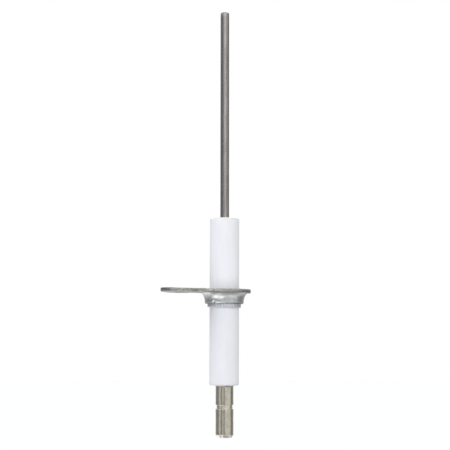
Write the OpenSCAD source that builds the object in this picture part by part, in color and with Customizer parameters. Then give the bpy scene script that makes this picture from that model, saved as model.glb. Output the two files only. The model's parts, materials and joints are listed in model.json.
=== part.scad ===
// Flame sensor probe: a heat-resisting rod in a ceramic tube, clamped in a stamped bracket,
// with a round plug terminal on the rod's cold end.
//
// Millimetres. The origin is on the rod's axis, in the plane of the bracket's seating face.
// +Z points to the rod's free tip, and the bracket's screw ear points along -X.

/* [Sensing rod] */
// Diameter of the rod
rod_d = 3; // [2:0.1:3.4]
// Height of the rod's tip above the seating face
rod_tip = 96; // [40:1:200]
// Width of the deburred edge at the tip
rod_edge = 0.3; // [0.1:0.05:0.6]

/* [Insulator] */
// Outer diameter of the ceramic tube
tube_d = 10; // [9:0.1:12]
// Height of the tube's hot end above the seating face
tube_top = 23.9; // [8:0.1:36]
// Depth of the tube's cold end below the seating face
tube_tail = 32.6; // [14:0.1:60]
// Edge radius at the hot end
tube_top_round = 0.45; // [0.1:0.05:0.8]
// Edge radius at the cold end
tube_tail_round = 0.6; // [0.1:0.05:0.8]
// Radial gap between the rod and the tube's bore
bore_gap = 0.15; // [0.05:0.05:0.3]
// Diameter of the cement pocket at each end of the bore
pocket_d = 4.6; // [4.2:0.1:5]
// Depth of each cement pocket
pocket_depth = 2.5; // [1:0.1:5]

/* [Bracket plate] */
// Thickness of the sheet
plate_t = 1.2; // [1:0.1:1.6]
// Diameter of the round part about the tube
disc_d = 18; // [17.4:0.1:20]
// Diameter of the ear's round end
ear_d = 14; // [12.6:0.1:15]
// Distance from the tube's axis to the screw hole
ear_reach = 15.2; // [15:0.1:24]
// Width of the neck between the round part and the ear
neck_w = 11.6; // [10:0.1:12]
// Radius of the four corners of the neck
neck_round = 4; // [2:0.1:4]
// Diameter of the screw hole, for an M4 screw
screw_hole_d = 4.5; // [3.2:0.1:5.5]

/* [Collar drawn from the plate] */
// Depth of the collar's lower edge below the seating face
collar_drop = 4.9; // [4.5:0.1:5.5]
// Outer diameter at the lower edge
collar_edge_d = 13.3; // [13.2:0.1:13.5]
// Outer diameter at the top, below its corner with the plate
collar_root_d = 13.8; // [13.6:0.1:14.2]
// Radius of the outer corner between the collar and the plate
collar_corner = 1.4; // [0.8:0.1:1.6]
// Radius that the draw leaves at the mouth of the collar
collar_mouth = 1; // [0.8:0.1:1.1]
// Width of the worn edge round the collar's lower end
collar_bevel = 0.4; // [0.1:0.05:0.5]

/* [Clamp sleeve] */
// Wall of the sleeve
sleeve_wall = 0.7; // [0.6:0.05:0.75]
// Depth of the sleeve's lower end below the seating face
sleeve_drop = 6.1; // [5.8:0.1:7.5]
// Depth of the locking groove that the sleeve's rim is rolled into
lock_depth = 0.4; // [0.2:0.05:0.5]

/* [Terminal] */
// Diameter of the plug terminal
pin_d = 6; // [5:0.1:7]
// Depth of the terminal's end below the seating face
pin_end = 50; // [46:0.5:80]
// Distance from the tube's cold end to the middle of the snap groove
groove_from_tube = 7.2; // [5:0.1:8]
// Width of the snap groove
groove_w = 1.4; // [0.6:0.1:2]
// Depth of the snap groove
groove_depth = 0.35; // [0.2:0.05:0.6]
// Length of the taper at the terminal's end
nose_len = 1; // [0.5:0.1:1.5]
// Amount that the taper takes off the radius
nose_in = 0.55; // [0.2:0.05:0.8]
// Depth of the blind hole that holds the rod
socket_depth = 11; // [4:0.5:12]

/* [Cement] */
// Thickness of the cement between the tube's cold end and the terminal
joint_t = 0.25; // [0.1:0.05:0.5]
// Height of the cement fillet round the rod at the hot end
fillet_h = 0.3; // [0.1:0.05:0.6]

/* [Hidden] */

$fn = 96;
over = 1; // how far a cutting shape runs past what it cuts
arc_bite = 0.01;

rod_r = rod_d / 2;
tube_r = tube_d / 2;
bore_r = rod_r + bore_gap;
pocket_r = pocket_d / 2;

collar_bore_r = tube_r + sleeve_wall;
collar_root_z = -plate_t - collar_corner;

// The rolled rim fills the groove but for rim_gap, and both start on a 45 degree flank.
lock_top = -0.5;
lock_h = 1.2;
rim_gap = 0.05;
rim_h = 0.5;
rim_top = lock_top - 0.2;
rim_low = rim_top - rim_h;

pin_r = pin_d / 2;
pin_top = -tube_tail - joint_t;
groove_z = -tube_tail - groove_from_tube;
socket_floor = pin_top - socket_depth;
pin_break = 0.15; // chamfer round the terminal's upper edge

// Half section of a bar from z = low to z = high, with a radius on each outer edge.
module round_edged_bar(r, low, high, low_round, high_round) {
    translate([0, low + low_round])
        square([r, high - high_round - low - low_round]);
    translate([0, low])
        square([r - low_round, low_round + high_round]);
    translate([0, high - low_round - high_round])
        square([r - high_round, low_round + high_round]);
    translate([r - low_round, low + low_round])
        circle(low_round);
    translate([r - high_round, high - high_round])
        circle(high_round);
}

// Upright cylinder from z = low to z = high.
module bar(r, low, high) {
    translate([0, 0, low])
        cylinder(r = r, h = high - low);
}

// The rod runs from the floor of the terminal's hole to its deburred tip.
module sensing_rod() {
    color("dimgray") {
        bar(rod_r, socket_floor, rod_tip - rod_edge);
        translate([0, 0, rod_tip - rod_edge])
            cylinder(r1 = rod_r, r2 = rod_r - rod_edge, h = rod_edge);
    }
}

// Section of the groove that locks the tube in the bracket. It is hidden under the seating face.
module lock_groove() {
    floor_r = tube_r - lock_depth;
    polygon([
        [tube_r + over, lock_top],
        [floor_r, lock_top],
        [floor_r, lock_top - lock_h + lock_depth],
        [tube_r, lock_top - lock_h],
        [tube_r + over, lock_top - lock_h],
    ]);
}

module insulator() {
    color("whitesmoke")
    difference() {
        rotate_extrude()
            difference() {
                round_edged_bar(tube_r, -tube_tail, tube_top, tube_tail_round, tube_top_round);
                lock_groove();
            }
        bar(bore_r, -tube_tail - over, tube_top + over);
        bar(pocket_r, tube_top - pocket_depth, tube_top + over);
        bar(pocket_r, -tube_tail - over, -tube_tail + pocket_depth);
    }
}

// Two concave corners, mirrored about the X axis, where the neck meets a round end of radius end_r
// centred at x = end_x. side is -1 when the neck leaves that end towards -X, and 1 towards +X.
// Each corner's arc cuts arc_bite into the end and into the neck, so that the outlines cross cleanly.
module neck_corners(end_r, end_x, side) {
    rise = neck_w / 2 + neck_round - arc_bite;
    run = sqrt(pow(end_r + neck_round - arc_bite, 2) - pow(rise, 2));
    for (half = [-1, 1])
        difference() {
            polygon([
                [end_x, 0],
                [end_x + side * run, 0],
                [end_x + side * run, half * rise],
            ]);
            translate([end_x + side * run, half * rise])
                circle(neck_round);
        }
}

// Flat outline of the plate: a disc about the tube, a necked strap and a round ear.
module plate_outline() {
    circle(disc_d / 2);
    translate([-ear_reach, 0])
        circle(ear_d / 2);
    translate([-ear_reach, -neck_w / 2])
        square([ear_reach, neck_w]);
    neck_corners(disc_d / 2, 0, -1);
    neck_corners(ear_d / 2, -ear_reach, 1);
}

// Half section of the collar, filled to the axis, from mid-plate to its lower edge.
module collar_section() {
    edge_r = collar_edge_d / 2;
    root_r = collar_root_d / 2;
    corner_r = root_r + collar_corner;
    difference() {
        polygon([
            [0, -plate_t / 2],
            [corner_r, -plate_t / 2],
            [corner_r, collar_root_z],
            [root_r, collar_root_z],
            [edge_r, -collar_drop + collar_bevel],
            [edge_r - collar_bevel, -collar_drop],
            [0, -collar_drop],
        ]);
        translate([corner_r, collar_root_z])
            circle(collar_corner);
    }
}

// Half section of the hole through plate and collar, with the rounded mouth that the draw leaves.
module collar_bore_section() {
    mouth_r = collar_bore_r + collar_mouth;
    translate([0, -collar_drop - over])
        square([collar_bore_r, collar_drop + 2 * over]);
    difference() {
        translate([0, -collar_mouth])
            square([mouth_r, collar_mouth + over]);
        translate([mouth_r, -collar_mouth])
            circle(collar_mouth);
    }
}

module mounting_bracket() {
    color("darkgray")
    difference() {
        union() {
            translate([0, 0, -plate_t])
                linear_extrude(plate_t)
                    plate_outline();
            rotate_extrude()
                collar_section();
        }
        rotate_extrude()
            collar_bore_section();
        translate([-ear_reach, 0, 0])
            bar(screw_hole_d / 2, -plate_t - over, over);
    }
}

// A plain ring whose upper rim is rolled into the tube's groove.
module clamp_sleeve() {
    rim_r = tube_r - lock_depth + rim_gap;
    roll = tube_r - rim_r;
    color("silver")
    rotate_extrude()
        polygon([
            [tube_r, -sleeve_drop],
            [collar_bore_r, -sleeve_drop],
            [collar_bore_r, rim_low - roll],
            [collar_bore_r - roll, rim_low],
            [collar_bore_r - roll, rim_top],
            [rim_r, rim_top],
            [rim_r, rim_low],
            [tube_r, rim_low - roll],
        ]);
}

// Turned pin with a snap groove, a tapered nose and a blind hole that holds the rod.
module terminal_pin() {
    color("tan")
    difference() {
        rotate_extrude()
            polygon([
                [0, pin_top],
                [pin_r - pin_break, pin_top],
                [pin_r, pin_top - pin_break],
                [pin_r, groove_z + groove_w / 2],
                [pin_r - groove_depth, groove_z + groove_w / 2],
                [pin_r - groove_depth, groove_z - groove_w / 2],
                [pin_r, groove_z - groove_w / 2],
                [pin_r, -pin_end + nose_len],
                [pin_r - nose_in, -pin_end],
                [0, -pin_end],
            ]);
        bar(rod_r, socket_floor, pin_top + over);
    }
}

// Plug in the hot end's pocket, with a low fillet up the rod.
module front_cement() {
    color("lightyellow")
    rotate_extrude()
        polygon([
            [rod_r, tube_top - pocket_depth],
            [pocket_r, tube_top - pocket_depth],
            [pocket_r, tube_top],
            [rod_r + 0.5 * fillet_h, tube_top + 0.5 * fillet_h],
            [rod_r, tube_top + fillet_h],
        ]);
}

// Plug in the cold end's pocket, with the layer that the terminal is bedded on.
module rear_cement() {
    layer_r = pin_r - 2 * pin_break;
    color("burlywood")
    rotate_extrude()
        polygon([
            [rod_r, pin_top],
            [layer_r, pin_top],
            [layer_r, -tube_tail],
            [pocket_r, -tube_tail],
            [pocket_r, -tube_tail + pocket_depth],
            [rod_r, -tube_tail + pocket_depth],
        ]);
}

sensing_rod();
insulator();
mounting_bracket();
clamp_sleeve();
terminal_pin();
front_cement();
rear_cement();
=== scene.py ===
"""Looks of the flame sensor probe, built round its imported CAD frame.

The rod's axis is Z, the bracket's seating face is z = 0 and the screw ear points along -X.
Lengths are in millimetres until a vertex is made, where MM turns them into metres.
Angles about the axis are in degrees from +X towards +Y, and FRONT is the one that faces the camera.
"""

import json
import math

import bmesh
import bpy
from mathutils import Matrix, Vector, noise


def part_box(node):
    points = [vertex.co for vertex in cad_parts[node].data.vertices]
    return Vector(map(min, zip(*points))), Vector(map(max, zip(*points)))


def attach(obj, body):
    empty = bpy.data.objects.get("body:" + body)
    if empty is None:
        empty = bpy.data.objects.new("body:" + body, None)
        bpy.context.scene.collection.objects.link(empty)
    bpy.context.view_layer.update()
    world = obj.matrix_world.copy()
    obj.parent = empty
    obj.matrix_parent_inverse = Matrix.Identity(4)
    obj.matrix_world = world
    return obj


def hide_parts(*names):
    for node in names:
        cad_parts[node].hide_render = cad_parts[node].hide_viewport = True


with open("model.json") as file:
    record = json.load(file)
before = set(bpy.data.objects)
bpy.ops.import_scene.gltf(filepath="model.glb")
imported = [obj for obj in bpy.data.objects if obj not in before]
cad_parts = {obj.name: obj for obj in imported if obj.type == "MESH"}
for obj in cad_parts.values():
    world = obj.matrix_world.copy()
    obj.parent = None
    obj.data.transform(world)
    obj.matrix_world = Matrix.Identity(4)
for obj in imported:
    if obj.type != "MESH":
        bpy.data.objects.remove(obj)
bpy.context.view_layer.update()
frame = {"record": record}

MM = 0.001
FRONT = -108


def span(node, axis):
    """Lowest and highest place of a CAD node along an axis, in millimetres."""
    low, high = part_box(node)
    return low[axis] / MM, high[axis] / MM


# Sizes of the CAD nodes.
ROD_FOOT, ROD_TIP = span("sensing_rod", 2)
ROD_R = span("sensing_rod", 0)[1]
TUBE_TAIL, TUBE_TOP = span("insulator", 2)
TUBE_R = span("insulator", 0)[1]
COLLAR_LOW = span("mounting_bracket", 2)[0]
EAR_END, DISC_R = span("mounting_bracket", 0)
SLEEVE_LOW, SLEEVE_TOP = span("clamp_sleeve", 2)
SLEEVE_R = span("clamp_sleeve", 0)[1]
PIN_END, PIN_TOP = span("terminal_pin", 2)
PIN_R = span("terminal_pin", 0)[1]
FILLET_TOP = span("front_cement", 2)[1]
PLUG_R = span("front_cement", 0)[1]

# Sizes that the boxes don't tell, as in the CAD part.
BORE_R = 1.65
POCKET_DEPTH = 2.5
TOP_ROUND = 0.45
TAIL_ROUND = 0.6
LOCK_R = 4.6
LOCK_TOP = -0.5
LOCK_LOW = -1.7
PLATE_T = 1.2
EAR_R = 7
EAR_X = EAR_END + EAR_R
NECK_HALF = 5.8
NECK_ROUND = 4
SCREW_R = 2.25
MOUTH_ROUND = 1
RIM_R = 4.65
RIM_LOW = -1.2
GROOVE_TOP = -39.1
GROOVE_LOW = -40.5
GROOVE_DEPTH = 0.35
NOSE_LEN = 1
NOSE_IN = 0.55

# The collar's flare is a quarter of an ellipse between these points of (radius, height).
FLARE_FROM = Vector((6.62, -4.35))
FLARE_TO = Vector((8.4, -PLATE_T))

# Height below which the collar's lip is torn.
LIP_TOP = -4.76

# Where the plate's neck ends and its disc begins, along X.
DISC_BEGINS = (-9.2, -8.0)

# Radius and width of the hooked ridge round the nick in the lip.
HOOK_R = 0.9
HOOK_WIDTH = 0.16

# Distance between the points of the plate's outline.
OUTLINE_STEP = 0.12

# A section point nearer to the axis than this becomes a single vertex on it.
ON_AXIS = 1e-6

# Height of the studio's floor, far enough below the terminal to catch no shadow in the picture.
FLOOR = PIN_END - 30

# Small errors of assembly against the rod's axis, as askew() takes them.
TUBE_ERROR = (0.16, -0.09, 0)
BRACKET_ERROR = (0.6, -0.09, 0.21)

# Where the visible marks are, as angles about the axis. More than FRONT is right of the middle.
NICK = FRONT - 31
LIP_GAP = FRONT + 42
TONGUE = FRONT
DRIP = FRONT + 9
CHIP = FRONT + 44
JOINT_GAP = FRONT + 23


# ---------------------------------------------------------------- shapes


def smooth(start, end, value):
    """0 before start and 1 after end, with a soft change between them."""
    share = min(max((value - start) / (end - start), 0), 1)
    return share * share * (3 - 2 * share)


def bell(angle, centre, width):
    """1 at the centre angle and falling to 0 on both sides of it. All in degrees."""
    away = (angle - centre + 180) % 360 - 180
    return math.exp(-((away / width) ** 2))


def wobble(angle, height, around, along, seed):
    """Smooth noise from about -1 to 1 that closes on itself round the axis.

    around and along say how fast it changes with angle and height, and seed moves it elsewhere.
    """
    turn = math.radians(angle)
    place = (math.cos(turn) * around, math.sin(turn) * around + seed, height * along)
    return noise.noise(Vector(place))


def polar(radius, angle, height):
    """Point at this radius, angle and height."""
    turn = math.radians(angle)
    return Vector((radius * math.cos(turn), radius * math.sin(turn), height))


def filleted(corners, bits=6):
    """Points along corners of (radius, height, fillet), with an arc of bits + 1 points in each."""
    points = []
    for index, (radius, height, fillet) in enumerate(corners):
        here = Vector((radius, height))
        if fillet == 0:
            points.append(here)
            continue
        back = (Vector(corners[index - 1][:2]) - here).normalized()
        ahead = (Vector(corners[(index + 1) % len(corners)][:2]) - here).normalized()
        half = back.angle(ahead) / 2
        middle = here + (back + ahead).normalized() * fillet / math.sin(half)
        first = here + back * fillet / math.tan(half) - middle
        last = here + ahead * fillet / math.tan(half) - middle
        for bit in range(bits + 1):
            points.append(middle + first.slerp(last, bit / bits).normalized() * fillet)
    return points


def fine(points, step):
    """The same points with more between them, so that no stretch is longer than step."""
    dense = [points[0]]
    for here, there in zip(points, points[1:]):
        count = max(1, math.ceil((there - here).length / step))
        for part in range(1, count + 1):
            dense.append(here.lerp(there, part / count))
    return dense


def add_ring(bm, points):
    """New vertices at points in millimetres."""
    return [bm.verts.new(point * MM) for point in points]


def join_rings(bm, lower, upper, material=0):
    """Faces between two closed rings, either of which may be a single vertex."""
    count = max(len(lower), len(upper))
    for index in range(count):
        after = (index + 1) % count
        corners = []
        for ring, order in ((lower, (index, after)), (upper, (after, index))):
            if len(ring) == 1:
                corners.append(ring[0])
            else:
                corners.extend(ring[place] for place in order)
        bm.faces.new(corners).material_index = material


def askew(lean, right, drop):
    """Error of assembly as the camera sees it: clockwise lean in degrees, shifts in millimetres."""
    shift = polar(right, FRONT + 90, -drop) * MM
    return Matrix.Translation(shift) @ Matrix.Rotation(math.radians(-lean), 4, polar(1, FRONT, 0))


def finish_piece(bm, name, node, materials, crease=32, error=None):
    """Turns a bmesh into an object that stands for a CAD node.

    Edges sharper than crease degrees stay sharp, and error is the piece's error of assembly.
    """
    if error:
        bm.transform(error)
    bmesh.ops.recalc_face_normals(bm, faces=bm.faces)
    for edge in bm.edges:
        if len(edge.link_faces) == 2 and edge.calc_face_angle() > math.radians(crease):
            edge.smooth = False
    for face in bm.faces:
        face.smooth = True
    mesh = bpy.data.meshes.new(name)
    bm.to_mesh(mesh)
    bm.free()
    for material in materials:
        mesh.materials.append(material)
    piece = bpy.data.objects.new(name, mesh)
    bpy.context.collection.objects.link(piece)
    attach(piece, "root")
    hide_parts(node)


def spin(bm, section, around, shape, closed=False):
    """Turns a section of (radius, height) points about the axis, and returns its rings.

    shape(radius, height, angle) gives a point's own radius and height. A closed section is a loop.
    """
    rings = []
    for radius, height in section:
        if radius < ON_AXIS:
            rings.append(add_ring(bm, [Vector((0, 0, height))]))
            continue
        points = []
        for step in range(around):
            angle = 360 * step / around
            own_radius, own_height = shape(radius, height, angle)
            points.append(polar(own_radius, angle, own_height))
        rings.append(add_ring(bm, points))
    for lower, upper in zip(rings, rings[1:]):
        join_rings(bm, lower, upper)
    if closed:
        join_rings(bm, rings[-1], rings[0])
    return rings


# ---------------------------------------------------------------- material nodes


class Nodes:
    """A node tree, with short calls for the nodes that its patterns need."""

    def __init__(self, tree):
        self.tree = tree

    def add(self, kind, **inputs):
        """New node. A socket's name is given with _ for its spaces."""
        node = self.tree.nodes.new(kind)
        for name, value in inputs.items():
            self.feed(node.inputs[name.replace("_", " ")], value)
        return node

    def feed(self, socket, value):
        """Links a socket to another node's output, or gives it a fixed value."""
        if isinstance(value, bpy.types.NodeSocket):
            self.tree.links.new(value, socket)
        else:
            socket.default_value = value

    def math(self, operation, first, second=0.0):
        node = self.add("ShaderNodeMath")
        node.operation = operation
        self.feed(node.inputs[0], first)
        self.feed(node.inputs[1], second)
        return node.outputs[0]

    def plus(self, first, second):
        return self.math("ADD", first, second)

    def times(self, first, second):
        return self.math("MULTIPLY", first, second)

    def larger(self, first, second):
        return self.math("MAXIMUM", first, second)

    def ramp(self, value, start, end, low=0.0, high=1.0):
        """Goes softly from low at start to high at end, where end may be the lower one."""
        node = self.add(
            "ShaderNodeMapRange", Value=value, From_Min=start, From_Max=end, To_Min=low, To_Max=high
        )
        node.interpolation_type = "SMOOTHSTEP"
        return node.outputs[0]

    def mix(self, share, first, second):
        """Colour that goes from first to second."""
        node = self.add("ShaderNodeMix")
        node.data_type = "RGBA"
        colours = [socket for socket in node.inputs if socket.type == "RGBA"]
        self.feed(node.inputs[0], share)
        for socket, value in zip(colours, (first, second)):
            self.feed(socket, value if isinstance(value, bpy.types.NodeSocket) else (*value, 1))
        return [socket for socket in node.outputs if socket.type == "RGBA"][0]


class Surface(Nodes):
    """A Principled material in the colour of one of the record's slots."""

    def __init__(self, name, metallic, slot):
        self.material = bpy.data.materials.new(name)
        self.material.use_nodes = True
        super().__init__(self.material.node_tree)
        self.shader = self.tree.nodes["Principled BSDF"]
        self.shader.inputs["Metallic"].default_value = metallic
        self.material.diffuse_color = (*tint(slot), 1)
        self.coords = self.add("ShaderNodeTexCoord").outputs["Object"]

    def place(self, x, y, z):
        """Object coordinates, scaled to this many pattern cells in a millimetre."""
        scale = (x / MM, y / MM, z / MM)
        return self.add("ShaderNodeMapping", Vector=self.coords, Scale=scale).outputs[0]

    def along(self, axis):
        """Place along one axis, in millimetres: the height above the seating face for Z."""
        split = self.add("ShaderNodeSeparateXYZ", Vector=self.coords)
        return self.times(split.outputs[axis], 1 / MM)

    def near(self, point, reach):
        """1 at a point given in millimetres, falling to 0 at reach millimetres from it."""
        gap = self.add("ShaderNodeVectorMath", Vector=self.coords)
        gap.operation = "DISTANCE"
        gap.inputs[1].default_value = point * MM
        return self.ramp(gap.outputs["Value"], reach * MM, 0.0)

    def noise(self, x, y, z, detail=3.0, rough=0.5, shift=0.0):
        """Cloudy noise around 0.5, with x, y and z cells in a millimetre."""
        moved = self.add("ShaderNodeVectorMath", Vector=self.place(x, y, z))
        moved.inputs[1].default_value = (shift, shift, shift)
        cloud = self.add(
            "ShaderNodeTexNoise", Vector=moved.outputs[0], Scale=1.0, Detail=detail, Roughness=rough
        )
        return cloud.outputs[0]

    def spots(self, per_mm, size, soft):
        """1 in scattered, ragged spots and 0 between them."""
        even = self.place(per_mm, per_mm, per_mm)
        ragged = self.add("ShaderNodeTexNoise", Vector=even, Scale=3.0, Detail=3.0)
        bent = self.add("ShaderNodeVectorMath")
        bent.operation = "MULTIPLY_ADD"
        self.feed(bent.inputs[0], ragged.outputs["Color"])
        self.feed(bent.inputs[1], (0.5, 0.5, 0.5))
        self.feed(bent.inputs[2], even)
        cells = self.add("ShaderNodeTexVoronoi", Vector=bent.outputs[0], Scale=1.0)
        return self.ramp(cells.outputs["Distance"], size + soft, size)

    def relief(self, height, depth, normal=None):
        """Bump of this depth in millimetres, on top of another bump if one is given."""
        node = self.add("ShaderNodeBump", Height=height, Strength=1.0, Distance=depth * MM)
        if normal:
            self.feed(node.inputs["Normal"], normal)
        return node.outputs[0]

    def paint(self, colour, roughness, normal):
        """Connects the finished patterns to the shader, and returns the material."""
        self.feed(self.shader.inputs["Base Color"], colour)
        self.feed(self.shader.inputs["Roughness"], roughness)
        self.feed(self.shader.inputs["Normal"], normal)
        return self.material


def tint(slot):
    """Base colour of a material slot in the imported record."""
    slots = {entry["slot"]: entry for entry in frame["record"]["materials"]}
    return tuple(slots[slot]["base_color"])


def shaded(colour, factor):
    return tuple(channel * factor for channel in colour)


# ---------------------------------------------------------------- materials

# Tones of wear and dirt, and of painted shade, which the record's base colours don't have.
OXIDE_BROWN = (0.27, 0.23, 0.20)
PIT_DARK = (0.12, 0.1, 0.09)
RUB_MARK_AND_SHADE_GREY = (0.5, 0.5, 0.52)
SMEAR_GREY = (0.42, 0.41, 0.4)
SPECK_TAN = (0.42, 0.36, 0.3)
PAINTED_CORNER_SHADE = (0.16, 0.16, 0.17)
TEAR_DARK = (0.2, 0.18, 0.15)
TEAR_LIGHT = (0.49, 0.48, 0.45)
GRIT_DARK = (0.17, 0.15, 0.13)
BURR_BRIGHT = (0.8, 0.79, 0.75)
RUBBED_BRIGHT = (0.86, 0.86, 0.84)
EDGE_SHADE_DARK = (0.14, 0.13, 0.13)
LIP_SHADE_DARK = (0.1, 0.09, 0.07)


def rod_alloy():
    """Drawn wire: long fine streaks, brownish oxide clouds and a few pits."""
    base = tint("rod_alloy")
    s = Surface("rod_alloy", 1.0, "rod_alloy")
    streaks = s.noise(7.0, 7.0, 0.12, detail=5.0, rough=0.7)
    clouds = s.noise(0.9, 0.9, 0.35, detail=4.0, shift=7.0)
    pits = s.spots(1.9, size=0.06, soft=0.14)
    colour = s.mix(s.ramp(streaks, 0.32, 0.68), shaded(base, 0.66), shaded(base, 1.24))
    colour = s.mix(s.ramp(clouds, 0.45, 0.7, 0.0, 0.45), colour, OXIDE_BROWN)
    colour = s.mix(s.times(pits, 0.5), colour, PIT_DARK)
    roughness = s.ramp(clouds, 0.3, 0.7, 0.2, 0.3)
    lines = s.relief(streaks, 0.015)
    return s.paint(colour, roughness, s.relief(s.math("SUBTRACT", 1.0, pits), 0.008, lines))


def alumina():
    """Unglazed white ceramic: fine grain, faint clouds, sparse specks, grey metal rub marks and
    painted shade near the plate.
    """
    base = tint("alumina")
    s = Surface("alumina", 0.0, "alumina")
    height = s.along("Z")
    grain = s.noise(9.0, 9.0, 9.0, detail=2.0)
    clouds = s.noise(0.35, 0.35, 0.12, detail=3.0, shift=3.0)
    specks = s.spots(0.75, size=0.035, soft=0.03)
    rubbed = s.noise(2.5, 2.5, 0.5, detail=4.0, rough=0.65, shift=11.0)
    colour = s.mix(s.ramp(clouds, 0.3, 0.7), shaded(base, 1.045), shaded(base, 1.08))

    # The bracket leaves grey marks just above its plate and just below its ring. The ceramic is
    # also painted evenly greyer towards the plate, as painted shade of the plate.
    near_plate = s.ramp(height, 4.5, 0.2)
    above = s.times(near_plate, s.ramp(height, -2.0, 0.0))
    below = s.times(s.ramp(height, -9.0, -6.5), s.ramp(height, -5.0, -6.0))
    strength = s.plus(0.04, s.times(s.larger(above, below), 0.22))
    marks = s.times(s.ramp(rubbed, 0.5, 0.72), strength)
    colour = s.mix(s.plus(marks, s.times(near_plate, 0.1)), colour, RUB_MARK_AND_SHADE_GREY)

    # The hot end's rim is smeared, most of all round its chip.
    chipped = s.near(polar(TUBE_R, CHIP, TUBE_TOP - 0.1), 1.7)
    rim = s.times(s.ramp(height, TUBE_TOP - 0.8, TUBE_TOP - 0.2), s.ramp(rubbed, 0.4, 0.6))
    smear = s.times(rim, s.plus(0.08, s.times(chipped, 0.75)))
    colour = s.mix(smear, colour, SMEAR_GREY)
    colour = s.mix(s.times(specks, 0.5), colour, SPECK_TAN)
    roughness = s.ramp(grain, 0.2, 0.8, 0.5, 0.66)
    return s.paint(colour, roughness, s.relief(grain, 0.012))


def sheet_steel():
    """Pressed sheet: satin, with small dents, scratches and darker smudges."""
    base = tint("sheet_steel")
    s = Surface("sheet_steel", 1.0, "sheet_steel")
    height = s.along("Z")
    satin = s.noise(14.0, 14.0, 5.0, detail=3.0, rough=0.6)
    smudge = s.noise(0.8, 0.8, 0.9, detail=4.0, rough=0.6, shift=5.0)
    dents = s.noise(1.1, 1.1, 1.1, detail=1.0, shift=2.0)
    scratches = s.noise(0.4, 9.0, 3.0, detail=2.0, rough=0.4, shift=9.0)
    colour = s.mix(s.ramp(smudge, 0.35, 0.68), shaded(base, 1.05), shaded(base, 0.88))
    colour = s.mix(s.ramp(satin, 0.55, 0.75, 0.0, 0.3), colour, shaded(base, 0.66))

    # Painted shade in the corner between the disc's lower face and the collar.
    under_plate = s.times(s.ramp(height, -1.7, -1.3), s.ramp(height, -1.0, -PLATE_T))
    corner = s.times(under_plate, s.ramp(s.along("X"), *DISC_BEGINS, 0.0, 0.75))
    colour = s.mix(corner, colour, PAINTED_CORNER_SHADE)
    scratched = s.ramp(scratches, 0.62, 0.7, 0.0, 0.12)
    roughness = s.plus(s.ramp(smudge, 0.3, 0.7, 0.3, 0.38), scratched)
    wavy = s.relief(dents, 0.03)
    return s.paint(colour, roughness, s.relief(satin, 0.008, wavy))


def sheared_steel():
    """Cut and torn edges of the sheet: rough, with brownish tears and bright burrs."""
    s = Surface("sheared_steel", 1.0, "sheet_steel")
    height = s.along("Z")
    length = s.along("X")
    tears = s.noise(2.6, 2.6, 2.2, detail=5.0, rough=0.75)
    grit = s.noise(4.6, 4.6, 4.2, detail=3.0, rough=0.7, shift=4.0)
    colour = s.mix(s.ramp(tears, 0.36, 0.62), TEAR_DARK, TEAR_LIGHT)
    colour = s.mix(s.ramp(grit, 0.44, 0.3, 0.0, 0.75), colour, GRIT_DARK)
    colour = s.mix(s.ramp(grit, 0.56, 0.66, 0.0, 0.75), colour, BURR_BRIGHT)

    # The disc's edge is rubbed bright, most of all near its upper face.
    on_disc = s.ramp(length, -9.5, -7.5)
    rubbed = s.times(on_disc, s.ramp(height, -0.75, -0.2, 0.08, 0.32))
    colour = s.mix(rubbed, colour, RUBBED_BRIGHT)

    # Painted shade: a dark line along the foot of the disc's edge, and the ear's end painted
    # darker.
    foot_line = s.times(s.ramp(height, -1.0, -1.16), s.ramp(length, *DISC_BEGINS))
    ear_end = s.ramp(length, -19.0, -21.5)
    edge_shade = s.larger(s.times(foot_line, 0.5), s.times(ear_end, 0.5))
    colour = s.mix(edge_shade, colour, EDGE_SHADE_DARK)
    roughness = s.ramp(tears, 0.3, 0.7, 0.5, 0.36)
    torn = s.relief(tears, 0.08)
    return s.paint(colour, roughness, s.relief(grit, 0.06, torn))


def sleeve_steel():
    """Rolled strip: satin rings, a few upright rub marks, and painted shade under the collar's lip.
    """
    base = tint("sleeve_steel")
    s = Surface("sleeve_steel", 0.75, "sleeve_steel")
    rings = s.noise(0.3, 0.3, 11.0, detail=3.0, rough=0.6)
    rubs = s.noise(3.2, 3.2, 0.5, detail=4.0, rough=0.65, shift=6.0)
    # Painted shade on the ring just under the collar's lip, deepest where the lip stands off it.
    in_gap = s.near(polar(SLEEVE_R, LIP_GAP, COLLAR_LOW), 5.5)
    strength = s.ramp(s.plus(0.3, s.times(in_gap, 0.9)), 0.2, 1.0, 0.1, 0.9)
    lip_shade = s.times(s.ramp(s.along("Z"), -5.34, -5.02), strength)
    colour = s.mix(s.ramp(rubs, 0.36, 0.66), shaded(base, 0.95), shaded(base, 1.4))
    colour = s.mix(lip_shade, colour, LIP_SHADE_DARK)
    roughness = s.ramp(rubs, 0.3, 0.7, 0.56, 0.42)
    wavy = s.relief(rubs, 0.05)
    return s.paint(colour, roughness, s.relief(rings, 0.01, wavy))


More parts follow.
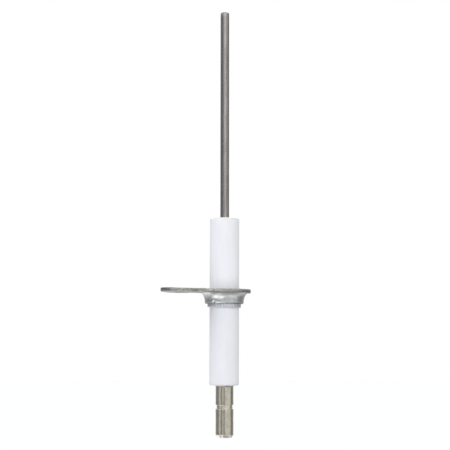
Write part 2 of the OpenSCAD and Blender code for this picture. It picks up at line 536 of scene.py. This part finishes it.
def terminal_nickel():
    """Turned and plated: fine tool rings, soft tarnish clouds, upright scuffs, a rougher groove,
    and painted highlight on the groove and the nose.
    """
    base = tint("terminal_nickel")
    warm = (base[0] * 1.03, base[1] * 1.02, base[2] * 0.93)
    s = Surface("terminal_nickel", 1.0, "terminal_nickel")
    height = s.along("Z")
    rings = s.noise(0.15, 0.15, 16.0, detail=2.0, rough=0.5)
    tarnish = s.noise(0.8, 0.8, 0.5, detail=4.0, rough=0.6, shift=8.0)
    scuffs = s.noise(6.0, 6.0, 0.35, detail=4.0, rough=0.7, shift=1.0)
    colour = s.mix(s.ramp(tarnish, 0.35, 0.68), shaded(warm, 1.05), shaded(warm, 0.84))
    colour = s.mix(s.ramp(scuffs, 0.58, 0.74, 0.0, 0.55), colour, shaded(base, 0.5))

    # Painted highlight: the groove's floor and the tapered nose are painted brighter.
    below_top = s.ramp(height, GROOVE_TOP, GROOVE_TOP - 0.1)
    groove = s.times(below_top, s.ramp(height, GROOVE_LOW, GROOVE_LOW + 0.1))
    nose = s.ramp(height, PIN_END + NOSE_LEN + 0.1, PIN_END + NOSE_LEN - 0.1)
    colour = s.mix(s.times(s.larger(groove, nose), 0.7), colour, shaded(warm, 1.22))
    scuffed = s.ramp(scuffs, 0.5, 0.8, 0.0, 0.1)
    roughness = s.plus(s.ramp(tarnish, 0.3, 0.7, 0.12, 0.2), scuffed)
    roughness = s.plus(roughness, s.times(groove, 0.1))
    turned = s.relief(rings, 0.006)
    return s.paint(colour, roughness, s.relief(scuffs, 0.012, turned))


def cement(slot, dark, light):
    """Matte refractory cement: grains, small holes and a tone between dark and light."""
    base = tint(slot)
    s = Surface(slot, 0.0, slot)
    grains = s.noise(6.0, 6.0, 6.0, detail=4.0, rough=0.7)
    tone = s.noise(1.2, 1.2, 1.2, detail=3.0, shift=4.0)
    holes = s.spots(3.2, size=0.06, soft=0.16)
    colour = s.mix(s.ramp(tone, 0.3, 0.7), shaded(base, dark), shaded(base, light))
    colour = s.mix(s.ramp(grains, 0.5, 0.75, 0.0, 0.4), colour, shaded(base, dark * 0.85))
    colour = s.mix(s.times(holes, 0.5), colour, shaded(base, dark * 0.5))
    lumpy = s.relief(grains, 0.06)
    return s.paint(colour, 0.85, s.relief(s.math("SUBTRACT", 1.0, holes), 0.05, lumpy))


# ---------------------------------------------------------------- pieces


def build_rod():
    """Drawn rod with a cropped, lightly deburred tip."""

    def shape(radius, height, angle):
        at_tip = smooth(ROD_TIP - 0.8, ROD_TIP, height)
        radius += 0.006 * wobble(angle, height, 0.8, 0.25, 3)
        radius -= at_tip * 0.03 * (1 + wobble(angle, 0, 1.6, 0, 5))
        height += at_tip * (0.05 * wobble(angle, 0, 1.1, 0, 9) - 0.03)
        return radius, height

    corners = [
        (0, ROD_FOOT, 0),
        (ROD_R, ROD_FOOT, 0.2),
        (ROD_R, ROD_TIP, 0.28),
        (0.9, ROD_TIP, 0),
        (0.3, ROD_TIP - 0.04, 0),
        (0, ROD_TIP - 0.05, 0),
    ]
    bm = bmesh.new()
    spin(bm, fine(filleted(corners, 8), 1.6), 96, shape)
    finish_piece(bm, "drawn_rod", "sensing_rod", [rod_alloy()])


def tube_shape(radius, height, angle):
    """Pressed and fired ceramic is never quite round, and the hot end's rim has a chip."""
    outside = smooth(4.0, 4.6, radius)
    radius += outside * 0.02 * wobble(angle, height, 1.0, 0.08, 12)
    radius += outside * 0.006 * wobble(angle, height, 4.0, 0.9, 4)
    at_rim = smooth(TUBE_TOP - 0.5, TUBE_TOP - 0.1, height)
    chip = outside * at_rim * bell(angle, CHIP, 7) * (1 + 0.6 * wobble(angle, height, 14, 3, 2))
    height += at_rim * 0.025 * wobble(angle, 0, 2.2, 0, 6) - 0.1 * chip
    return radius - 0.13 * chip, height


def build_insulator():
    """Tube with a bore, a cement pocket in either end and the groove that the ring locks into."""
    corners = [
        (BORE_R, TUBE_TAIL + POCKET_DEPTH, 0),
        (PLUG_R, TUBE_TAIL + POCKET_DEPTH, 0.1),
        (PLUG_R, TUBE_TAIL, 0.12),
        (TUBE_R, TUBE_TAIL, TAIL_ROUND),
        (TUBE_R, LOCK_LOW, 0.05),
        (LOCK_R, LOCK_LOW + TUBE_R - LOCK_R, 0.05),
        (LOCK_R, LOCK_TOP, 0.05),
        (TUBE_R, LOCK_TOP, 0.05),
        (TUBE_R, TUBE_TOP, TOP_ROUND),
        (PLUG_R, TUBE_TOP, 0.12),
        (PLUG_R, TUBE_TOP - POCKET_DEPTH, 0.1),
        (BORE_R, TUBE_TOP - POCKET_DEPTH, 0),
    ]
    bm = bmesh.new()
    spin(bm, fine(filleted(corners, 8), 0.9), 256, tube_shape, closed=True)
    surfaces = [alumina()]
    finish_piece(bm, "ceramic_tube", "insulator", surfaces, error=askew(*TUBE_ERROR))


def arc_points(centre, radius, start, end):
    """Points of a level arc from one angle up to, but without, the other."""
    count = max(2, math.ceil(abs(math.radians(end - start)) * radius / OUTLINE_STEP))
    points = []
    for part in range(count):
        place = polar(radius, start + (end - start) * part / count, 0)
        points.append(place + Vector((centre[0], centre[1], 0)))
    return points


def plate_outline():
    """Outline of the plate as (point, outward direction) pairs, round the axis from +X."""
    rise = NECK_HALF + NECK_ROUND
    disc_run = math.sqrt((DISC_R + NECK_ROUND) ** 2 - rise**2)
    ear_run = math.sqrt((EAR_R + NECK_ROUND) ** 2 - rise**2)
    disc_turn = math.degrees(math.atan2(rise, -disc_run))
    ear_turn = math.degrees(math.atan2(rise, ear_run))
    upper = arc_points((0, 0), DISC_R, 0, disc_turn)
    upper += arc_points((-disc_run, rise), NECK_ROUND, disc_turn - 180, -90)
    neck = [Vector((-disc_run, NECK_HALF, 0)), Vector((EAR_X + ear_run, NECK_HALF, 0))]
    upper += fine(neck, OUTLINE_STEP)[:-1]
    upper += arc_points((EAR_X + ear_run, rise), NECK_ROUND, -90, ear_turn - 180)
    upper += arc_points((EAR_X, 0), EAR_R, ear_turn, 180)
    lower = [Vector((point.x, -point.y, 0)) for point in reversed(upper[1:])]
    points = upper + [Vector((EAR_END, 0, 0))] + lower
    pairs = []
    for index, point in enumerate(points):
        along = points[(index + 1) % len(points)] - points[index - 1]
        pairs.append((point, Vector((along.y, -along.x, 0)).normalized()))
    return pairs


def rolled_in(depth):
    """How far the punch has drawn a cut edge in, at a depth below the upper face."""
    return 0.13 * smooth(0.16, 0, depth)


def sheared_edge(depth, point):
    """How far the cut edge stands in from the outline, at a depth below the upper face."""
    place = point * 1.4
    torn = smooth(0.42, 0.6, depth + 0.18 * noise.noise(place))
    rough = 0.05 * noise.noise(Vector((point.x * 5, point.y * 5, depth * 4)))
    rough += 0.03 * noise.noise(Vector((point.x * 13, point.y * 13, depth * 9)))
    burr = 0.05 * smooth(1.08, PLATE_T, depth)
    return rolled_in(depth) + torn * (0.07 + rough) - burr + 0.015 * noise.noise(place * 3)


def ear_bend(x):
    """The ear droops a little along its neck, and its end is turned up again."""
    return 0.22 * smooth(-17, EAR_END, x) - 0.12 * smooth(-9, -14, x)


def fill_flat(bm, loops):
    """Flat face between an outer ring and the rings of its holes."""
    edges = []
    for ring in loops:
        for index, vert in enumerate(ring):
            edge = bm.edges.get((vert, ring[index - 1]))
            edge.smooth = False
            edges.append(edge)
    bmesh.ops.triangle_fill(bm, use_beauty=True, use_dissolve=False, edges=edges)


def hooked_burr(radius, height, angle):
    """1 on the crest of a ridge that hooks round the nick in the collar's lip."""
    aside = math.radians((angle - NICK + 180) % 360 - 180) * radius
    above = height - COLLAR_LOW - 0.2
    off_crest = math.hypot(aside, above) - HOOK_R
    return math.exp(-((off_crest / HOOK_WIDTH) ** 2)) * smooth(-0.25, 0.1, above)


def collar_shape(radius, height, angle):
    """Drawn collar: slightly wavy wall, hooked burr, and a torn lip with a nick and a gap."""
    lip = smooth(-3.9, -4.6, height)
    wall = smooth(-1.4, -2.4, height)
    outside = smooth(6.0, 6.3, radius)
    gap = bell(angle, LIP_GAP, 34)
    ragged = 0.07 * wobble(angle, 0, 7, 0, 2) + 0.07 * wobble(angle, 0, 19, 0, 5)
    radius += outside * 0.08 * hooked_burr(radius, height, angle)
    height += lip * (ragged + 0.28 * bell(angle, NICK, 5) + 0.2 * gap)
    radius += wall * outside * 0.03 * wobble(angle, height, 1.8, 0.5, 8)
    radius += lip * outside * 0.05 * wobble(angle, height, 12, 2, 3)
    radius += lip * (1 - outside) * 0.3 * gap
    return radius, height


def collar_section():
    """From the plate's upper face through the bore and round the lip to its lower face."""
    bore_r = SLEEVE_R + 0.02
    foot = COLLAR_LOW + 0.02
    corners = [
        (SLEEVE_R + MOUTH_ROUND, 0, 0),
        (bore_r, 0, 0.98),
        (bore_r, foot, 0.14),
        (FLARE_FROM.x - 0.12, foot, 0.16),
        (FLARE_FROM.x, COLLAR_LOW + 0.5, 0),
    ]
    section = fine(filleted(corners, 8), 0.16)
    flare = FLARE_TO - FLARE_FROM
    steps = 32
    for part in range(1, steps + 1):
        turn = math.radians(90 * part / steps)
        out = flare.x * (1 - math.cos(turn))
        section.append(FLARE_FROM + Vector((out, flare.y * math.sin(turn))))
    return section


def plate_walls(bm, depths):
    """The plate's cut outer edge, as rings from its upper face down."""
    outline = plate_outline()
    walls = []
    for depth in depths:
        down = Vector((0, 0, depth))
        ring = [point - out * sheared_edge(depth, point) - down for point, out in outline]
        walls.append(add_ring(bm, ring))
    return walls


def screw_walls(bm, depths):
    """The punched screw hole, as rings from the upper face down."""
    around = 128
    walls = []
    for depth in depths:
        torn = smooth(0.5, 0.7, depth)
        ring = []
        for step in range(around):
            angle = 360 * step / around
            rough = 0.02 * torn * wobble(angle, depth, 6, 4, 7)
            radius = SCREW_R + rolled_in(depth) + 0.05 * torn + rough
            ring.append(polar(radius, angle, -depth) + Vector((EAR_X, 0, 0)))
        walls.append(add_ring(bm, ring))
    return walls


def build_bracket():
    """Stamped plate with sheared edges, its screw hole, and the collar drawn from it."""
    # Places of the two materials on the mesh.
    sheet = 0
    sheared = 1
    depths = [0, 0.04, 0.09, 0.16, 0.26, 0.36, 0.45, 0.54, 0.63, 0.73, 0.83, 0.93, 1.03, 1.12]
    depths.append(PLATE_T)
    bm = bmesh.new()
    edge = plate_walls(bm, depths)
    hole = screw_walls(bm, depths)
    for walls in (edge, hole):
        for upper, lower in zip(walls, walls[1:]):
            join_rings(bm, upper, lower, sheared)

    collar = spin(bm, collar_section(), 360, collar_shape)
    for face in bm.faces:
        if face.material_index == sheet and face.calc_center_median().z < LIP_TOP * MM:
            face.material_index = sheared
    fill_flat(bm, [edge[0], hole[0], collar[0]])
    fill_flat(bm, [edge[-1], hole[-1], collar[-1]])
    for vert in bm.verts:
        vert.co.z += ear_bend(vert.co.x / MM) * MM
    surfaces = [sheet_steel(), sheared_steel()]
    error = askew(*BRACKET_ERROR)
    finish_piece(
        bm, "stamped_bracket", "mounting_bracket", surfaces, crease=50, error=error
    )


def build_sleeve():
    """Ring round the tube, its lower end cut a little askew and its rim rolled into the groove."""

    def shape(radius, height, angle):
        low = smooth(-5.0, SLEEVE_LOW, height)
        slant = -0.07 * math.cos(math.radians(angle - FRONT - 80))
        uneven = 0.03 * wobble(angle, 0, 8, 0, 4) + 0.02 * wobble(angle, 0, 24, 0, 1)
        height += low * (slant + uneven)
        radius += low * 0.025 * wobble(angle, height, 6, 1, 2)
        return radius, height

    inner_r = TUBE_R + 0.03
    outer_r = SLEEVE_R - 0.02
    roll = TUBE_R - RIM_R
    corners = [
        (inner_r, SLEEVE_LOW, 0.12),
        (outer_r, SLEEVE_LOW, 0.14),
        (outer_r, RIM_LOW - roll, 0.1),
        (outer_r - roll, RIM_LOW, 0.1),
        (outer_r - roll, SLEEVE_TOP, 0.1),
        (RIM_R, SLEEVE_TOP, 0.1),
        (RIM_R, RIM_LOW, 0.1),
        (inner_r, RIM_LOW - roll, 0.1),
    ]
    bm = bmesh.new()
    spin(bm, fine(filleted(corners), 0.12), 256, shape, closed=True)
    surfaces = [sleeve_steel()]
    error = askew(*BRACKET_ERROR)
    finish_piece(bm, "clamp_ring", "clamp_sleeve", surfaces, error=error)


def build_terminal():
    """Turned plug with a snap groove, a blunt tapered nose and a centre dimple."""

    def shape(radius, height, angle):
        return radius + 0.004 * wobble(angle, height, 2.0, 1.2, 14), height

    socket_r = ROD_R + 0.01
    socket_low = PIN_TOP - 1
    floor_r = PIN_R - GROOVE_DEPTH
    corners = [
        (socket_r, socket_low, 0),
        (socket_r, PIN_TOP, 0.12),
        (PIN_R, PIN_TOP, 0.15),
        (PIN_R, GROOVE_TOP, 0.04),
        (floor_r, GROOVE_TOP, 0.08),
        (floor_r, GROOVE_LOW, 0.08),
        (PIN_R, GROOVE_LOW, 0.04),
        (PIN_R, PIN_END + NOSE_LEN, 0.25),
        (PIN_R - NOSE_IN, PIN_END, 0.3),
        (0.55, PIN_END, 0.05),
        (0, PIN_END + 0.35, 0),
    ]
    bm = bmesh.new()
    rings = spin(bm, fine(filleted(corners), 0.35), 192, shape)
    floor = add_ring(bm, [Vector((0, 0, socket_low))])
    join_rings(bm, floor, rings[0])
    finish_piece(bm, "plug_terminal", "terminal_pin", [terminal_nickel()])


def tube_end(path):
    """Point and outward direction on the tube's hot end, path millimetres out from the rod."""
    flat = TUBE_R - TOP_ROUND - ROD_R
    bend = TOP_ROUND * math.pi / 2
    if path <= flat:
        return Vector((ROD_R + path, TUBE_TOP)), Vector((0, 1))
    if path <= flat + bend:
        turn = (path - flat) / TOP_ROUND
        out = Vector((math.sin(turn), math.cos(turn)))
        return Vector((TUBE_R - TOP_ROUND, TUBE_TOP - TOP_ROUND)) + out * TOP_ROUND, out
    return Vector((TUBE_R, TUBE_TOP - TOP_ROUND - (path - flat - bend))), Vector((1, 0))


def cement_skin(angle, share):
    """Point on the front cement's skin, share of the way from the rod to the skin's outer edge."""
    tongue = min(1, 1.7 * bell(angle, TONGUE, 26))
    drip = bell(angle, DRIP, 4)
    reach = 1.0 + 0.25 * (1 - tongue) * wobble(angle, 0, 1.6, 0, 2) + 2.9 * tongue
    reach += 0.35 * drip + 0.06 * wobble(angle, 0, 12, 0, 7)
    path = reach * share
    lump = 0.2 * wobble(angle, path, 7, 2.2, 4)
    film = (0.08 + 0.05 * drip) * (1 + lump) * (1 - share**6)
    bead = (FILLET_TOP - TUBE_TOP + 0.08 * lump) * math.exp(-path / 0.28)
    sunk = 0.03 if share == 1 else 0
    foot, out = tube_end(path)
    place = foot + out * (film + bead - sunk)
    return polar(place.x, angle, place.y)


def build_front_cement():
    """Plug in the hot end, a bead round the rod, and a tongue that has run over the front rim."""
    steps = 30
    angles = [360 * index / 240 for index in range(240)]
    bm = bmesh.new()
    rings = []
    for step in range(steps + 1):
        rings.append(add_ring(bm, [cement_skin(angle, step / steps) for angle in angles]))
    plug_side = PLUG_R - 0.02
    plug_low = TUBE_TOP - POCKET_DEPTH
    for radius, height in ((plug_side, TUBE_TOP - 0.3), (plug_side, plug_low), (ROD_R, plug_low)):
        rings.append(add_ring(bm, [polar(radius, angle, height) for angle in angles]))
    for lower, upper in zip(rings, rings[1:]):
        join_rings(bm, lower, upper)
    join_rings(bm, rings[-1], rings[0])
    surfaces = [cement("hot_cement", 1.14, 1.24)]
    error = askew(*TUBE_ERROR)
    finish_piece(
        bm, "hot_end_cement", "front_cement", surfaces, crease=80, error=error
    )


def build_rear_cement():
    """Plug in the cold end, and a squeezed bed under the terminal with a gap in it."""

    def shape(radius, height, angle):
        squeezed = smooth(2.4, 2.6, radius)
        uneven = 0.16 * wobble(angle, height, 4, 2, 6) + 0.08 * wobble(angle, height, 13, 6, 3)
        missing = 1.35 * min(1, 1.8 * bell(angle, JOINT_GAP, 11))
        return radius + squeezed * (0.12 + uneven - missing), height

    corners = [
        (ROD_R, PIN_TOP - 0.02, 0),
        (PIN_R - 0.12, PIN_TOP - 0.05, 0.02),
        (PIN_R, (PIN_TOP + TUBE_TAIL) / 2, 0.02),
        (PIN_R - 0.05, TUBE_TAIL + 0.02, 0.02),
        (PLUG_R, TUBE_TAIL + 0.02, 0),
        (PLUG_R, TUBE_TAIL + POCKET_DEPTH, 0),
        (ROD_R, TUBE_TAIL + POCKET_DEPTH, 0),
    ]
    bm = bmesh.new()
    spin(bm, fine(filleted(corners, 3), 0.1), 192, shape, closed=True)
    surfaces = [cement("joint_cement", 1.0, 1.5)]
    finish_piece(bm, "cold_end_cement", "rear_cement", surfaces, crease=80)


# ---------------------------------------------------------------- studio


class Sky(Nodes):
    """The studio's light as one pattern over the directions from which it comes.

    side is a direction's angle from the camera's side, right side positive, and rise is its angle
    above the horizon, both in degrees.
    """

    def __init__(self):
        world = bpy.data.worlds.new("studio")
        bpy.context.scene.world = world
        world.use_nodes = True
        super().__init__(world.node_tree)
        self.tree.nodes.clear()
        coords = self.add("ShaderNodeTexCoord")
        turned = self.add("ShaderNodeVectorRotate", Vector=coords.outputs["Generated"])
        turned.rotation_type = "Z_AXIS"
        turned.inputs["Angle"].default_value = math.radians(-FRONT)
        split = self.add("ShaderNodeSeparateXYZ", Vector=turned.outputs[0])
        turn = self.math("ARCTAN2", split.outputs["Y"], split.outputs["X"])
        self.side = self.times(turn, math.degrees(1))
        self.rise = self.times(self.math("ARCSINE", split.outputs["Z"]), math.degrees(1))

    def window(self, value, low, high, soft):
        """1 between low and high, with an edge soft degrees wide on both sides."""
        opening = self.ramp(value, low - soft / 2, low + soft / 2)
        closing = self.ramp(value, high + soft / 2, high - soft / 2)
        return self.times(opening, closing)

    def panel(self, sides, rises, soft, strength):
        """A rectangular light between two sides and two rises."""
        across = self.window(self.side, *sides, soft)
        upright = self.window(self.rise, *rises, soft)
        return self.times(self.times(across, upright), strength)


def studio_light(sky):
    """Strength of the light: an even glow with bright bands, and panels at the object's height."""
    high_band = sky.times(sky.window(sky.rise, 26, 62, 16), 0.84)
    low_band = sky.times(sky.window(sky.rise, -54, -30, 16), 0.52)
    straight_below = sky.ramp(sky.rise, -52, -72, 0.0, 0.35)
    off_front = sky.math("ABSOLUTE", sky.side)
    backdrop = sky.times(sky.window(off_front, 134, 220, 26), sky.window(sky.rise, -40, 26, 16))
    light = sky.plus(high_band, 0.3)
    parts = [
        low_band,
        straight_below,
        sky.times(backdrop, 0.25),
        # Right of the camera, tall.
        sky.panel((4, 86), (-48, 30), 6, 0.47),
        # Over the camera.
        sky.panel((-24, 34), (6, 44), 12, 0.8),
        # Left of the camera: a narrow upright one, and a wide one round to the side.
        sky.panel((-33, -11), (-26, 30), 6, 0.33),
        sky.panel((-80, -49), (-30, 2), 10, 0.45),
        # High along the whole left, and low at the back left.
        sky.panel((-170, -10), (24, 56), 16, 0.72),
        sky.panel((-172, -100), (-52, -12), 14, 0.62),
        # Low at the front left, for the collar's highlight, and a small one lower still.
        sky.panel((-70, -4), (-44, -17), 10, 1.55),
        sky.panel((-72, -42), (-68, -58), 6, 2.0),
    ]
    for part in parts:
        light = sky.plus(light, part)
    return light


def light_studio():
    """Studio light for the object, and plain white paper where the camera sees past it."""
    sky = Sky()
    cool_left = (0.975, 0.985, 1.02)
    plain_right = (0.98, 0.99, 1.005)
    tone = sky.mix(sky.ramp(sky.side, -30, 30), cool_left, plain_right)
    studio = sky.add("ShaderNodeBackground", Color=tone, Strength=studio_light(sky))
    paper = sky.add("ShaderNodeBackground", Color=(1, 1, 1, 1), Strength=1.0)
    seen = sky.add("ShaderNodeMixShader")
    sky.feed(seen.inputs[0], sky.add("ShaderNodeLightPath").outputs["Is Camera Ray"])
    sky.feed(seen.inputs[1], studio.outputs[0])
    sky.feed(seen.inputs[2], paper.outputs[0])
    sky.add("ShaderNodeOutputWorld", Surface=seen.outputs[0])


def build_floor():
    """Plain pale floor. It throws no light back: the studio's lower half does that."""
    bm = bmesh.new()
    rings = [add_ring(bm, [Vector((0, 0, FLOOR))])]
    for radius in (60, 300, 1500):
        ring = [polar(radius, 360 * step / 64, FLOOR) for step in range(64)]
        rings.append(add_ring(bm, ring))
    for inner, outer in zip(rings, rings[1:]):
        join_rings(bm, inner, outer)
    mesh = bpy.data.meshes.new("floor")
    bm.to_mesh(mesh)
    bm.free()
    paper = bpy.data.materials.new("floor_paper")
    paper.use_nodes = True
    shader = paper.node_tree.nodes["Principled BSDF"]
    shader.inputs["Base Color"].default_value = (0.96, 0.96, 0.96, 1)
    shader.inputs["Roughness"].default_value = 1.0
    shader.inputs["Specular IOR Level"].default_value = 0.0
    mesh.materials.append(paper)
    floor = bpy.data.objects.new("floor", mesh)
    floor.visible_glossy = False
    floor.visible_diffuse = False
    bpy.context.collection.objects.link(floor)


def place_camera():
    """Camera at the photograph's angle: a little below the bracket, and turned towards its ear."""
    elevation = -5.7
    roll = 0.055
    distance = 404.6
    aim = Vector((0, 0, 21.8)) + polar(0.105, FRONT + 90, 0)
    level = math.cos(math.radians(elevation))
    back = polar(level, FRONT, math.sin(math.radians(elevation)))
    data = bpy.data.cameras.new("photo_view")
    data.lens = 94.6
    data.sensor_width = 36
    data.clip_start = 0.01
    camera = bpy.data.objects.new("photo_view", data)
    turn = (-back).to_track_quat("-Z", "Y").to_matrix().to_4x4()
    place = Matrix.Translation((aim + back * distance) * MM)
    camera.matrix_world = place @ turn @ Matrix.Rotation(math.radians(roll), 4, "Z")
    bpy.context.collection.objects.link(camera)
    bpy.context.scene.camera = camera


def plain_colours():
    """The picture shows colours as they are, without a film look."""
    settings = bpy.context.scene.view_settings
    settings.view_transform = "Standard"
    settings.look = "None"


build_rod()
build_insulator()
build_bracket()
build_sleeve()
build_terminal()
build_front_cement()
build_rear_cement()
build_floor()
light_studio()
place_camera()
plain_colours()
